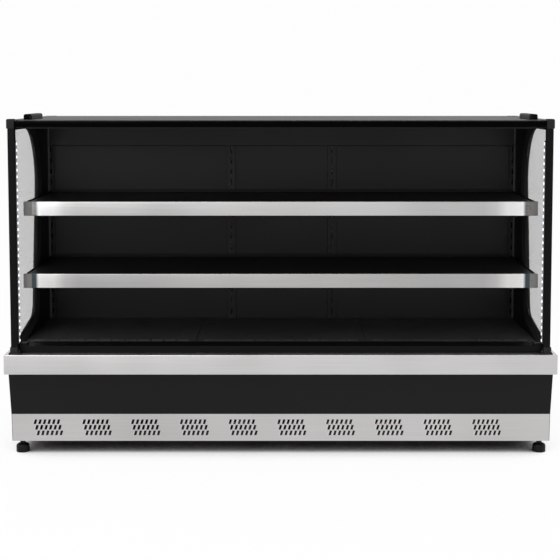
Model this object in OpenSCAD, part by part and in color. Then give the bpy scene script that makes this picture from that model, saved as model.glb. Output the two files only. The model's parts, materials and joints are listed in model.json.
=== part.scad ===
// Open-fronted refrigerated display counter: a deck and two shelves behind an open front,
// glass in both ends, an insulated shell, a fan-cooled tub under the deck and the
// refrigeration unit in the base. Millimetres, +Z up, the front looks along -Y.
// The origin is on the floor, in the middle of the width and of the depth.

/* [Overall] */
// Width over the lower side panels
unit_w = 2039; // [1800:1:2300]
// Depth over all, bumper to rear screw heads
unit_d = 790; // [760:1:860]
// Clear height under the base
ground_clear = 49; // [44:1:60]
// Height of the louvred plinth
plinth_h = 107; // [100:1:130]
// Height of the leaning black front panel
kick_h = 172; // [165:1:200]
// Height of the front opening, deck lip to canopy bar
opening_h = 814; // [780:1:960]

/* [Front] */
// Height of the bumper's face
bumper_h = 74; // [60:1:90]
// Reach of the bumper in front of the posts
bumper_lead = 13; // [8:1:30]
// Overhang of the bumper past each lower side panel
bumper_over = 4; // [2:0.5:10]
// Setback of the front panel's top edge behind the bumper's face
kick_set = 59; // [50:1:70]
// How far the front panel leans back over its height
kick_lean = 40; // [20:1:45]
// How far the plinth leans back over its height
plinth_lean = 9; // [0:1:14]
// Height of the deck lip above the bumper
lip_h = 26; // [22:1:40]
// Depth of the deck lip's top
lip_d = 86; // [80:1:95]

/* [Plinth louvres] */
// Number of louvre groups
louvre_groups = 10; // [6:1:10]
// Distance from group to group
group_pitch = 184.5; // [170:0.5:190]
// Shift of the row of groups to the left of the middle
group_shift = 51; // [0:1:55]
// Slots in one row of a group
slots_per_row = 6; // [4:1:7]
// Rows of slots in a group
slot_rows = 3; // [2:1:3]
// Distance between slots in a row
slot_pitch = 17.4; // [15:0.1:20]
// Distance between rows
slot_row_pitch = 22; // [20:0.5:26]
// Height of a slot
slot_tall = 18; // [12:0.5:19]
// Width of a slot
slot_wide = 9.5; // [5:0.5:10]
// Lean of a slot, top to the right
slot_lean = 5; // [0:0.5:7]

/* [Cabinet] */
// Step from the base's side to the cabinet's side
side_step = 21.5; // [15:0.5:40]
// Thickness of an end wall, skin to liner
end_wall_t = 28; // [26:1:40]
// Thickness of sheet metal
sheet = 1; // [0.8:0.1:1.5]
// Thickness of the rear wall's insulation
rear_foam_t = 72; // [50:1:80]
// Depth of the rear air duct
duct_d = 81; // [70:1:90]
// Width of a front post
post_w = 26; // [22:1:30]
// Depth of a front post
post_d = 24; // [20:1:30]
// Wall of a front post
post_wall = 2; // [1.5:0.1:3]
// Height of the canopy bar
canopy_h = 23; // [20:1:32]
// Height of a post's top cap
cap_h = 35; // [30:1:50]
// Height of the upper band of the back wall
band_h = 90; // [70:1:110]

/* [End windows] */
// Rise of the window's sill above the deck at the front post
sill_front = 2; // [1:1:20]
// Rise of the window's sill above the deck at its rear end
sill_rear = 57; // [50:1:130]
// Distance of the sill's rear end behind the posts' front
window_low_d = 378; // [250:1:400]
// Distance of the window's top rear corner behind the posts' front
window_top_d = 502; // [300:1:520]
// Radius of the window's lower rear corner
window_low_r = 60; // [50:1:90]
// Radius of the window's upper rear corner
window_top_r = 220; // [60:1:240]
// Width of the bevelled inner window surround
surround_w = 20; // [16:1:30]
// Width of the end walls' fold over the roof
roof_fold_w = 38; // [13:1:40]
// Thickness of the glass
glass_t = 5; // [4:0.5:6]

/* [Shelves] */
// Distance between the slots of the uprights
peg_pitch = 45; // [45:1:48]
// Slot that carries the middle shelf, counted from the lowest, which is 0
mid_slot = 5; // [4:1:6]
// Slot that carries the top shelf
top_slot = 11; // [10:1:12]
// Setback of the middle shelf's rail behind the posts' front
mid_set = 80; // [60:1:100]
// Setback of the top shelf's rail
top_set = 100; // [80:1:120]
// Height of the shelf rails
rail_h = 53.5; // [40:0.5:60]
// Height of a rail above its shelf
rail_rise = 5.5; // [3:0.5:12]
// Width of the caps on the rails' ends
rail_cap_w = 31; // [20:1:40]
// Height that a shelf is lifted by to unhook it
shelf_lift = 9; // [8:0.5:10]

/* [Tub and machinery] */
// Depth of the tub's underside below the deck
tub_depth = 172; // [160:1:175]
// Thickness of the tub's insulation
tub_foam_t = 42; // [30:1:45]
// Number of evaporator fans, one to each deck pan
FANS = 3;
// Side of a square evaporator fan
fan_size = 112; // [90:1:112]
// Radius of the evaporator fan's blade tips
fan_tip_r = 50; // [38:0.5:51]
// Length of the evaporator
evap_l = 1600; // [1200:10:1610]
// Radius of the compressor
comp_r = 76; // [65:1:80]
// Height of the compressor's can
comp_h = 146; // [120:1:148]
// Length of the condenser
cond_l = 400; // [350:1:430]
// Height of the condenser
cond_h = 156; // [144:6:162]
// Radius of the condenser fan's blade tips
cond_tip_r = 68; // [50:1:70]
// Outer radius of the drain outlet
drain_r = 16; // [12:0.5:20]
// Radius of the power cable's entry
cable_r = 5; // [4:0.1:6]

/* [Feet and frame] */
// Height of the base frame's channels
frame_h = 30; // [25:1:34]
// Width of the base frame's channels
frame_w = 40; // [34:1:50]
// Radius of a foot's pad
foot_r = 25; // [20:1:30]
// Height of a foot's pad
pad_h = 32; // [28:1:36]
// Radius of a foot's threaded stem
stem_r = 6; // [5:0.5:8]
// Distance of the feet from the base's sides
foot_in_x = 32.5; // [32:0.5:60]
// Distance of the front feet behind the posts' front
foot_in_y = 130; // [125:1:180]

/* [Hidden] */
// Clearances: between parts that are fixed together, of a running shaft, and of a seat
gap = 0.3;
run_gap = 0.05;
seat_gap = 0.3;
$fn = 48;

// Half widths, from the base inwards
base_x = unit_w / 2;
bumper_x = base_x + bumper_over;
cab_x = base_x - side_step;
liner_x = cab_x - end_wall_t;
inner_x = liner_x - gap;

// Heights, from the floor up
z_kick = ground_clear + plinth_h;
z_bumper = z_kick + kick_h;
z_ledge = z_bumper + bumper_h;
z_deck = z_ledge + lip_h;
z_canopy = z_deck + opening_h;
z_canopy_top = z_canopy + canopy_h;
z_roof = z_canopy_top + 2;
cap_rise = 7;
z_tub = z_deck - tub_depth;
z_floor = z_tub + sheet + tub_foam_t;
z_ceiling = z_canopy - 6;
ceiling_duct_h = 16;
z_roof_foam = z_ceiling + sheet + ceiling_duct_h;
z_pan = ground_clear + frame_h + sheet;
deck_drop = 2;
z_goods = z_deck - deck_drop;

// Depths, from the front to the rear
head_h = 2;
y_front = -unit_d / 2;
y_post = y_front + bumper_lead;
y_post_back = y_post + post_d;
y_rear = unit_d / 2 - head_h;
y_foam_back = y_rear - sheet;
y_foam = y_foam_back - rear_foam_t;
y_duct_back = y_foam - sheet;
y_back = y_duct_back - duct_d;
y_kick_top = y_front + kick_set;
y_kick_low = y_kick_top + kick_lean;
y_plinth_low = y_kick_low + plinth_lean;
y_lip = y_post_back + 1;
y_lip_back = y_lip + lip_d;
y_tub = y_lip_back - tub_foam_t - 2 * sheet;
y_tub_in = y_lip_back - sheet;

// Uprights and shelves
upright_t = 2;
upright_w = 36;
end_upright_w = 26;
y_upright = y_back - 4;
y_panel = y_back + 2;
upright_deep = 12;
z_upright = z_deck - 23;
z_seat = z_upright + sheet;
z_band = z_ceiling - band_h;
mid_upright_x = 209;
end_upright_x = inner_x - end_upright_w / 2;
peg_first = 39.7;
hook_tall = 10;
peg_tall = hook_tall + shelf_lift + 3;
peg_wide = 6;
pegs = floor((z_band - z_upright - peg_first - peg_tall) / peg_pitch) + 1;
hook_toe = 8;
hook_drop = 15;
bracket_t = 3;
bracket_deep = 70;
bracket_rise = 5;
bracket_y = y_upright - 0.6;
end_bracket_x = inner_x - 14;
shelf_x = end_bracket_x - gap;
rail_x = liner_x - 6;
rail_t = 12;
led_w = 9.5;
led_d = 14;
bead_r = 4.6;
bead_pitch = 24.3;

// End windows: an inset of 0 is the edge of the hole in the wall
y_window = y_post_back + gap;
z_window_top = z_canopy - 4;
glass_x = cab_x - 12;
arc_steps = 14;

// Machinery under and behind the deck
frame_y = foot_in_y + y_post;
frame_rear_y = -frame_y;
foot_x = base_x - foot_in_x;
cross_x = [-foot_x, -330, 330, foot_x];
fan_pitch = 2 * inner_x / FANS;
y_fan_plate = y_lip_back + 122;
fan_deep = 38;
fan_shaft_r = 3;
fan_z = z_floor + sheet + gap + fan_size / 2;
evap_y = [y_fan_plate + 90, y_fan_plate + 270];
evap_z = [z_floor + 9, z_goods - 25];
evap_x = -860;
comp_at = [560, y_back - 108];
cond_at = [-60, y_tub + 110];
cond_deep = 40;
pipe_hole = [inner_x - 78, y_back - 186];
pipe_hole_r = 32;
box_w = 180;
box_in = 59.5;
box_x = [box_in - base_x, box_in - base_x + box_w];
box_y = [y_rear - 143, y_rear - 21];
box_z = [z_pan, z_pan + 150];
drain_at = [box_x[1] + 80, y_rear - 67];
drain_pipe_r = drain_r + 2;
controls_x = [box_x[0] + 20, box_x[1] - 20];
controls_z = [z_pan + 24, z_pan + 104];
controls_mid = (controls_z[0] + controls_z[1]) / 2;
gland_x = box_x[0] + 50;
display_x = [gland_x + 24, gland_x + 98];
display_h = 30;

// Colours
c_black = [0.10, 0.10, 0.11];
c_trim = [0.17, 0.17, 0.18];
c_steel = [0.78, 0.78, 0.79];
c_zinc = [0.66, 0.67, 0.69];
c_foam = [0.93, 0.88, 0.70];
c_glass = [0.75, 0.80, 0.82, 0.45];
c_white = [0.97, 0.98, 1.00];
c_rubber = [0.08, 0.08, 0.08];
c_copper = [0.78, 0.45, 0.28];
c_grey = [0.50, 0.50, 0.50];

// A block between two corners
module block(x, y, z) translate([x[0], y[0], z[0]])
  cube([x[1] - x[0], y[1] - y[0], z[1] - z[0]]);
// A block as wide on the left as on the right
module wide_block(half, y, z) block([-half, half], y, z);
// The same shape at both ends of the unit
module both_ends() { children(); mirror([1, 0, 0]) children(); }
// A side profile, drawn as depth and height, drawn out from x[0] to x[1]
module along_x(x) translate([x[0], 0, 0]) rotate([90, 0, 90])
  linear_extrude(x[1] - x[0]) children();
// A front profile, drawn as width and height, drawn out from y[0] to y[1]
module along_y(y) translate([0, y[1], 0]) rotate([90, 0, 0])
  linear_extrude(y[1] - y[0]) children();
// A round bar along each axis
module bar_x(r, x) translate([x[0], 0, 0]) rotate([0, 90, 0]) cylinder(r = r, h = x[1] - x[0]);
module bar_y(r, y) translate([0, y[0], 0]) rotate([-90, 0, 0]) cylinder(r = r, h = y[1] - y[0]);
// A sheet panel that leans from the point top to the point low, seen from the side, and
// folds back along its lower edge
module leaning_sheet(half, top, low, fold) along_x([-half, half]) polygon([
  top, low, low + [fold, 0], low + [fold, sheet], low + [sheet, sheet], top + [sheet, 0]]);

// Geometry of the window's outline
function unit(v) = v / norm(v);
function cross2(a, b) = a[0] * b[1] - a[1] * b[0];
function left_of(v) = [-v[1], v[0]] / norm(v);
function meet(p, u, q, v) = p + u * (cross2(q - p, v) / cross2(u, v));
function inset_corner(a, b, c, t, s) =
  meet(b + left_of(b - a) * t, b - a, b + left_of(c - b) * s, c - b);
function round_corner(a, b, c, r) = let (
    u = unit(a - b), v = unit(c - b), half = acos(u * v) / 2,
    mid = b + unit(u + v) * r / sin(half),
    from = left_of(b - a) * -r, turn = 180 - 2 * half)
  [for (i = [0:arc_steps]) let (t = turn * i / arc_steps)
    mid + [from[0] * cos(t) - from[1] * sin(t), from[0] * sin(t) + from[1] * cos(t)]];
window_corners = [
  [y_window, z_deck + sill_front], [y_post + window_low_d, z_deck + sill_rear],
  [y_post + window_top_d, z_window_top], [y_window, z_window_top]];
// Outline drawn in by inset all round, and by other insets at the post and at the roof
function window_outline(inset, front_inset, top_inset) = let (
    w = window_corners,
    a = inset_corner(w[3], w[0], w[1], front_inset, inset),
    b = inset_corner(w[0], w[1], w[2], inset, inset),
    c = inset_corner(w[1], w[2], w[3], inset, top_inset),
    d = inset_corner(w[2], w[3], w[0], top_inset, front_inset))
  concat([a], round_corner(a, b, c, window_low_r - inset),
    round_corner(b, c, d, window_top_r - inset), [d]);

// Places of the screws that hold the rear panels, as width and height
function service_screws() = [for (x = [-0.98, -0.49, 0, 0.49, 0.98],
  z = [ground_clear + 12, z_tub - 10]) [x * base_x, z]];
function rear_screws() = [for (x = [-0.98, -0.49, 0, 0.49, 0.98],
  z = [z_floor + 25, (z_tub + z_roof) / 2, z_roof - 40]) [x * cab_x, z]];
screw_r = 2;
screw_l = 7;
module at_screws(places) for (p = places) translate([p[0], 0, p[1]]) children();
module screw_holes(places, r, y) at_screws(places) bar_y(r, y);

// Base
module base_frame() color(c_zinc) difference() {
  union() {
    for (y = [frame_y, frame_rear_y]) channel_x(y);
    for (x = cross_x) channel_y(x);
    for (x = [-foot_x, foot_x], y = [frame_y, frame_rear_y])
      translate([x, y, ground_clear]) cylinder(r = stem_r + 5, h = frame_h - 4);
  }
  for (x = [-foot_x, foot_x], y = [frame_y, frame_rear_y])
    translate([x, y, ground_clear - 1]) cylinder(r = stem_r + run_gap, h = frame_h + 2);
}
// Open-topped channel along the width, and one along the depth between those
channel_t = 3;
module channel_x(y) difference() {
  wide_block(base_x - 9, [y - frame_w / 2, y + frame_w / 2],
    [ground_clear, ground_clear + frame_h]);
  wide_block(base_x - 9 - channel_t, [y - frame_w / 2 + channel_t, y + frame_w / 2 - channel_t],
    [ground_clear + channel_t, ground_clear + frame_h + 1]);
}
module channel_y(x) {
  inner = abs(frame_y) - frame_w / 2 + channel_t / 2;
  w = 44;
  difference() {
    block([x - w / 2, x + w / 2], [-inner, inner], [ground_clear, ground_clear + frame_h]);
    block([x - w / 2 + channel_t, x + w / 2 - channel_t], [-inner - 1, inner + 1],
      [ground_clear + channel_t, ground_clear + frame_h + 1]);
  }
}
module base_pan() color(c_zinc) difference() {
  wide_block(base_x - 8, [y_plinth_low + 16, y_rear - sheet - gap], [z_pan - sheet, z_pan]);
  translate([drain_at[0], drain_at[1], z_pan - 5]) cylinder(r = drain_r + 4, h = 10);
}
// Lower side panel with a ledge that meets the cabinet
module base_sides() color(c_black) both_ends() {
  back = sheet + 0.6;
  along_x([base_x - sheet, base_x]) polygon([
    [y_plinth_low + back, ground_clear], [y_kick_low + back, z_kick],
    [y_kick_top + back, z_bumper - 2], [y_kick_top + back, z_ledge - sheet - gap],
    [y_tub, z_ledge - sheet - gap], [y_tub, z_ledge], [y_rear, z_ledge],
    [y_rear, ground_clear]]);
  block([cab_x + gap, base_x - sheet / 2], [y_tub, y_rear], [z_ledge - sheet, z_ledge]);
}
module louvre_slot() polygon([
  [-slot_lean / 2 - slot_wide / 2, 0], [-slot_lean / 2 + slot_wide / 2, 0],
  [slot_lean / 2 + slot_wide / 2, slot_tall], [slot_lean / 2 - slot_wide / 2, slot_tall]]);
module louvre_group() for (row = [0:slot_rows - 1], i = [0:slots_per_row - 1])
  translate([(i - (slots_per_row - 1) / 2) * slot_pitch - (row - (slot_rows - 1) / 2) * slot_lean,
    (row - (slot_rows - 1) / 2) * slot_row_pitch - slot_tall / 2]) louvre_slot();
plinth_x = base_x - 2;
module plinth_grille() color(c_steel) difference() {
  leaning_sheet(plinth_x, [y_kick_low, z_kick - 1], [y_plinth_low, ground_clear], 15);
  for (g = [0:louvre_groups - 1])
    translate([(g - (louvre_groups - 1) / 2) * group_pitch - group_shift, 0, ground_clear + plinth_h / 2])
      along_y([y_kick_low - 5, y_plinth_low + 5]) louvre_group();
}
module front_panel() color(c_black) difference() {
  leaning_sheet(base_x, [y_kick_top, z_bumper - gap], [y_kick_low, z_kick], 14);
  both_ends() block([base_x - sheet - gap, base_x + 1], [y_kick_low + sheet + 0.1, y_kick_low + 15],
    [z_kick - 1, z_kick + sheet]);
}
module bumper() color(c_steel) {
  wide_block(bumper_x, [y_front, y_front + sheet], [z_bumper, z_ledge]);
  wide_block(bumper_x, [y_front, y_tub - gap], [z_ledge - sheet, z_ledge]);
  wide_block(bumper_x, [y_front, y_kick_top + sheet], [z_bumper, z_bumper + sheet]);
  both_ends() block([bumper_x - sheet, bumper_x], [y_front, y_kick_top + sheet], [z_bumper, z_ledge]);
}
module rear_service_panel() color(c_black) difference() {
  wide_block(base_x - sheet - gap, [y_rear - sheet, y_rear], [ground_clear + 3, z_tub - gap]);
  for (x = [-350, 0, 350, 700], row = [0:6])
    block([x - 140, x + 140], [y_rear - 5, y_rear + 1],
      [z_pan + 20 + row * 18, z_pan + 27 + row * 18]);
  block(controls_x, [y_rear - 5, y_rear + 1], controls_z);
  screw_holes(service_screws(), screw_r + run_gap, [y_rear - 5, y_rear + 1]);
}

// Insulated tub under the deck
module tub_holes(extra) {
  translate([pipe_hole[0], pipe_hole[1], z_tub - 1]) cylinder(r = pipe_hole_r + extra, h = 60);
  translate([drain_at[0], drain_at[1] - 80, z_tub - 1]) cylinder(r = drain_pipe_r + extra, h = 60);
}
module tub_case() color(c_zinc) difference() {
  along_x([-inner_x, inner_x]) polygon([
    [y_tub, z_tub], [y_foam_back - gap, z_tub], [y_foam_back - gap, z_tub + sheet],
    [y_tub + sheet, z_tub + sheet], [y_tub + sheet, z_ledge - sheet - gap],
    [y_tub, z_ledge - sheet - gap]]);
  tub_holes(gap);
}
module tub_insulation() color(c_foam) difference() {
  along_x([-inner_x, inner_x]) polygon([
    [y_tub + sheet, z_tub + sheet], [y_foam_back - gap, z_tub + sheet],
    [y_foam_back - gap, z_floor], [y_tub_in, z_floor], [y_tub_in, z_ledge - sheet - gap],
    [y_tub + sheet, z_ledge - sheet - gap]]);
  tub_holes(gap);
}
module tub_liner() color(c_zinc) difference() {
  along_x([-inner_x, inner_x]) polygon([
    [y_tub_in, z_floor], [y_duct_back, z_floor], [y_duct_back, z_floor + sheet],
    [y_tub_in + sheet, z_floor + sheet], [y_tub_in + sheet, z_ledge],
    [y_tub_in, z_ledge]]);
  tub_holes(gap);
}

// End walls
module end_wall_shape(inset) difference() {
  polygon([
    [y_tub, z_tub], [y_rear, z_tub], [y_rear, z_roof - sheet], [y_window, z_roof - sheet],
    [y_window, z_ledge + gap], [y_tub, z_ledge + gap]]);
  polygon(window_outline(inset, -60, inset));
}
module side_panel() color(c_black) {
  along_x([cab_x - sheet, cab_x]) end_wall_shape(0);
  block([cab_x - roof_fold_w, cab_x], [y_window, y_rear], [z_roof, z_roof + sheet]);
  block([cab_x - sheet, cab_x], [y_window, y_rear], [z_roof - sheet, z_roof + sheet]);
}
module side_panel_right() side_panel();
module side_panel_left() mirror([1, 0, 0]) side_panel();
module side_liners() color(c_black) both_ends() along_x([liner_x, liner_x + sheet]) intersection() {
  end_wall_shape(-surround_w);
  polygon([[y_tub, z_tub], [y_foam_back, z_tub], [y_foam_back, z_roof_foam],
    [y_window, z_roof_foam], [y_window, z_ledge + gap], [y_tub, z_ledge + gap]]);
}
// One bevelled surround: a strip of four-sided section along the window's edge
module window_surround() {
  near = window_outline(0, 0, 0);
  far = window_outline(-surround_w, 0, max(-surround_w, z_window_top - z_roof + sheet + gap));
  n = len(near);
  skin_x = cab_x - sheet;
  bevel_x = glass_x - glass_t / 2 - 4;
  function at(x, p) = [x, p[0], p[1]];
  points = concat([for (p = near) at(skin_x, p)], [for (p = near) at(bevel_x, p)],
    [for (p = far) at(liner_x, p)], [for (p = far) at(skin_x, p)]);
  sides = [for (k = [0:3], i = [0:n - 2]) let (
      a = k * n + i, b = a + 1, c = ((k + 1) % 4) * n + i + 1, d = c - 1)
    each [[a, b, c], [a, c, d]]];
  ends = [[0, n, 2 * n], [0, 2 * n, 3 * n],
    [n - 1, 3 * n - 1, 2 * n - 1], [n - 1, 4 * n - 1, 3 * n - 1]];
  polyhedron(points, [for (f = concat(sides, ends)) [f[0], f[2], f[1]]]);
}
module window_surrounds() color(c_trim) both_ends() window_surround();
seal_w = 8;
module glass_seals() color(c_rubber) both_ends() difference() {
  along_x([glass_x - glass_t / 2 - 3, glass_x + glass_t / 2 + 3]) difference() {
    polygon(window_outline(gap, gap, gap));
    polygon(window_outline(seal_w, seal_w, seal_w));
  }
  along_x([glass_x - glass_t / 2 - 0.1, glass_x + glass_t / 2 + 0.1])
    polygon(window_outline(seal_w / 2 - 0.1, seal_w / 2 - 0.1, seal_w / 2 - 0.1));
}
module end_glass() color(c_glass) along_x([glass_x - glass_t / 2, glass_x + glass_t / 2])
  polygon(window_outline(seal_w / 2, seal_w / 2, seal_w / 2));
module end_glass_right() end_glass();
module end_glass_left() mirror([1, 0, 0]) end_glass();
module wall_insulation() color(c_foam) difference() {
  union() {
    both_ends() along_x([liner_x + sheet, cab_x - sheet]) intersection() {
      end_wall_shape(-surround_w);
      polygon([[y_tub, z_tub], [y_foam_back, z_tub], [y_foam_back, z_roof - sheet],
        [y_window, z_roof - sheet], [y_window, z_ledge + gap], [y_tub, z_ledge + gap]]);
    }
    wide_block(inner_x, [y_foam, y_foam_back], [z_floor, z_roof_foam]);
    wide_block(inner_x, [y_window + sheet, y_foam_back], [z_roof_foam, z_roof - sheet]);
  }
  screw_holes(rear_screws(), screw_r + gap, [y_rear - screw_l - 1, y_rear]);
}

// Rear wall, roof and air duct
module rear_panel() color(c_black) difference() {
  wide_block(cab_x - sheet, [y_foam_back, y_rear], [z_tub, z_roof - sheet]);
  screw_holes(rear_screws(), screw_r + run_gap, [y_rear - 5, y_rear + 1]);
}
module duct_liner() color(c_zinc)
  wide_block(inner_x, [y_duct_back, y_foam], [z_floor + sheet, z_roof_foam]);
module roof_panel() color(c_zinc) {
  wide_block(cab_x - sheet, [y_window, y_rear], [z_roof - sheet, z_roof]);
  wide_block(inner_x, [y_window, y_window + sheet], [z_roof_foam, z_roof - sheet / 2]);
}
module ceiling_panel() color(c_black)
  wide_block(inner_x, [y_window + 68, y_back - 2], [z_ceiling, z_ceiling + sheet]);
// Honeycomb that sends the cold air curtain down
cell = [24, 13];
module air_outlet_grille() color(c_trim) difference() {
  y0 = y_window + 2;
  deep = 64;
  cells = floor((2 * inner_x - 12) / (cell[0] + 2));
  wide_block(inner_x, [y0, y0 + deep], [z_ceiling, z_roof_foam - gap]);
  for (i = [0:cells - 1], j = [0:3]) {
    x = (i - (cells - 1) / 2) * (cell[0] + 2);
    y = y0 + 3 + j * (cell[1] + 2);
    block([x - cell[0] / 2, x + cell[0] / 2], [y, y + cell[1]],
      [z_ceiling - 1, z_roof_foam + 1]);
  }
}
roof_bar_w = 31;
roof_bar_h = 21;
roof_bar_l = 205;
roof_bar_in = roof_fold_w + 4;
roof_bar_set = 90;
module roof_bars() color(c_black) both_ends() {
  r = 7;
  t = 2.5;
  translate([cab_x - roof_bar_in - roof_bar_w / 2, 0, z_roof])
    along_y([y_post + roof_bar_set, y_post + roof_bar_set + roof_bar_l]) difference() {
      round_top(roof_bar_w, roof_bar_h, r);
      translate([0, -1]) round_top(roof_bar_w - 2 * t, roof_bar_h - t + 1, r - t);
    }
}
// A rectangle whose two upper corners are round
module round_top(w, h, r) {
  translate([-w / 2, 0]) square([w, h - r]);
  translate([-w / 2 + r, 0]) square([w - 2 * r, h]);
  for (x = [-1, 1]) translate([x * (w / 2 - r), h - r]) circle(r);
}

// Front frame
post_x = [cab_x - post_w, cab_x];
base_cap_h = 26;
z_post = z_ledge + base_cap_h;
z_post_top = z_canopy_top + cap_rise - cap_h;
module front_post() color(c_trim) difference() {
  block(post_x, [y_post, y_post_back], [z_post, z_post_top]);
  block([post_x[0] + post_wall, post_x[1] - post_wall],
    [y_post + post_wall, y_post_back - post_wall], [z_post - 1, z_post_top + 1]);
}
module front_post_right() front_post();
module front_post_left() mirror([1, 0, 0]) front_post();
// Caps at the posts' ends, each with a spigot inside the post
module post_caps() color(c_trim) both_ends() {
  x = [post_x[0] + 1, post_x[1] + 3];
  y = [y_post - 2, y_post_back];
  spigot_x = [post_x[0] + post_wall + 0.1, post_x[1] - post_wall - 0.1];
  spigot_y = [y_post + post_wall + 0.1, y_post_back - post_wall - 0.1];
  corner_r = 5;
  z_top = z_post_top + cap_h;
  along_y(y) {
    translate([x[0], z_post_top]) square([x[1] - x[0], cap_h - corner_r]);
    translate([x[0], z_post_top]) square([x[1] - x[0] - corner_r, cap_h]);
    translate([x[1] - corner_r, z_top - corner_r]) circle(corner_r);
  }
  block(spigot_x, spigot_y, [z_post_top - 22, z_post_top + 1]);
  block(x, y, [z_ledge, z_post]);
  block([x[0] - 12, x[1] + 5], [y_post - 5, y_post_back], [z_ledge, z_ledge + 7]);
  block(spigot_x, spigot_y, [z_post - 1, z_post + 22]);
}
module canopy_bar() color(c_black) difference() {
  wide_block(post_x[0] + 1 - gap, [y_post, y_post_back], [z_canopy, z_canopy_top]);
  wide_block(post_x[0] + 2, [y_post + 2, y_post_back - 2], [z_canopy + 2, z_canopy_top - 2]);
}
// Light strips on the inner faces of the posts, with a row of lenses
led_z = [z_post + 12, z_canopy - 50];
module led_strips() color(c_white) both_ends() {
  x = post_x[0] - gap;
  mid_y = y_post + 3 + led_d / 2;
  block([x - led_w + bead_r, x], [mid_y - led_d / 2, mid_y + led_d / 2], led_z);
  for (z = [led_z[0] + bead_pitch / 2:bead_pitch:led_z[1] - bead_r])
    translate([x - led_w + bead_r, mid_y, z]) sphere(bead_r, $fn = 24);
}

// Back wall and uprights
upright_xs = [-end_upright_x, -mid_upright_x, mid_upright_x, end_upright_x];
function upright_width(x) = abs(x) > mid_upright_x ? end_upright_w : upright_w;
function peg_z(i) = z_upright + peg_first + i * peg_pitch;
module upright(x) difference() {
  w = upright_width(x) / 2;
  z = [z_upright, z_band - gap];
  block([x - w, x + w], [y_upright, y_upright + upright_deep], z);
  block([x - w + upright_t, x + w - upright_t],
    [y_upright + upright_t, y_upright + upright_deep + 1], [z[0] - 1, z[1] + 1]);
  for (i = [0:pegs - 1]) block([x - peg_wide / 2, x + peg_wide / 2],
    [y_upright - 1, y_upright + upright_t + 1], [peg_z(i), peg_z(i) + peg_tall]);
}
module shelf_uprights() color(c_trim) for (x = upright_xs) upright(x);
module back_panels() color(c_black) {
  for (i = [0:2]) {
    left = upright_xs[i] + upright_width(upright_xs[i]) / 2 + gap;
    right = upright_xs[i + 1] - upright_width(upright_xs[i + 1]) / 2 - gap;
    block([left, right], [y_panel, y_panel + sheet], [z_upright, z_band - gap]);
    block([left, right], [y_panel - 24, y_panel + sheet], [z_seat - sheet, z_seat]);
  }
  wide_block(inner_x, [y_back - 2, y_back - 2 + sheet], [z_band, z_ceiling]);
  wide_block(inner_x, [y_back - 2, y_panel + sheet], [z_band, z_band + sheet]);
}

// Deck
module deck_lip() color(c_black) {
  leg = z_ledge + gap / 3;
  wide_block(inner_x, [y_lip, y_lip + sheet], [leg, z_deck]);
  wide_block(inner_x, [y_lip, y_lip_back + sheet], [z_deck - sheet, z_deck]);
  wide_block(inner_x, [y_lip_back, y_lip_back + sheet], [z_ledge - 10, z_deck]);
  wide_block(inner_x, [y_lip_back, y_lip_back + 18], [z_seat - sheet, z_seat]);
  both_ends() block([inner_x - 26, inner_x - 1], [y_lip + 5, y_lip + 33], [z_deck - sheet, z_deck + 10]);
}
// Three removable pans with a row of return-air slots along the front
module deck_pans() color(c_black) for (i = [0:FANS - 1]) {
  w = fan_pitch - 2;
  y = [y_lip_back + sheet + gap, y_upright - 2];
  fold = z_goods - z_seat - gap;
  translate([(i - (FANS - 1) / 2) * fan_pitch, 0, 0]) difference() {
    block([-w / 2, w / 2], y, [z_goods - fold, z_goods]);
    block([-w / 2 + sheet, w / 2 - sheet], [y[0] + sheet, y[1] - sheet],
      [z_goods - fold - 1, z_goods - sheet]);
    for (k = [0:11], row = [0:2]) let (x = (k - 5.5) * 50)
      block([x - 20, x + 20], [y[0] + 14 + row * 12, y[0] + 19 + row * 12],
        [z_goods - 2 * sheet, z_goods + 1]);
  }
}

// Shelves: a pan on four hooked brackets, a rail along the front and caps on its ends
function shelf_z(slot) = peg_z(slot) + seat_gap + hook_drop;
function shelf_y(set) = y_post + set;
module shelf_pan(slot, set) color(c_black) {
  z = shelf_z(slot);
  y = [shelf_y(set) + rail_t + gap, y_upright - 6];
  wide_block(shelf_x, y, [z - sheet, z]);
  wide_block(shelf_x, [y[0], y[0] + sheet], [z - 30, z]);
  wide_block(shelf_x, [y[1] - sheet, y[1]], [z - sheet, z + 12]);
  both_ends() block([shelf_x - sheet, shelf_x], y, [z - 16, z]);
}
// One bracket; top is its upper edge measured from the shelf's surface
module bracket(x, z, y0, top) {
  block_x = [x - bracket_t / 2, x + bracket_t / 2];
  along_x(block_x) polygon([
    [y0, z - 26], [y0, z + top - 9], [y0 + 24, z + top], [bracket_y, z + top],
    [bracket_y, z - bracket_deep], [y0 + 330, z - bracket_deep + 8]]);
  for (i = [0, 1]) let (low = z - hook_drop - i * peg_pitch) {
    block(block_x, [bracket_y - 1, y_upright + upright_t + 2.6], [low, low + hook_tall]);
    block(block_x, [y_upright + upright_t + seat_gap, y_upright + upright_t + 2.6],
      [low - hook_toe, low + hook_tall]);
  }
}
module shelf_brackets(slot, set) color(c_black) {
  z = shelf_z(slot);
  y0 = shelf_y(set) + rail_t + sheet + 2 * gap;
  both_ends() bracket(end_bracket_x + bracket_t / 2, z, y0, bracket_rise);
  both_ends() bracket(mid_upright_x, z, y0, -sheet - 0.1);
}
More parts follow.
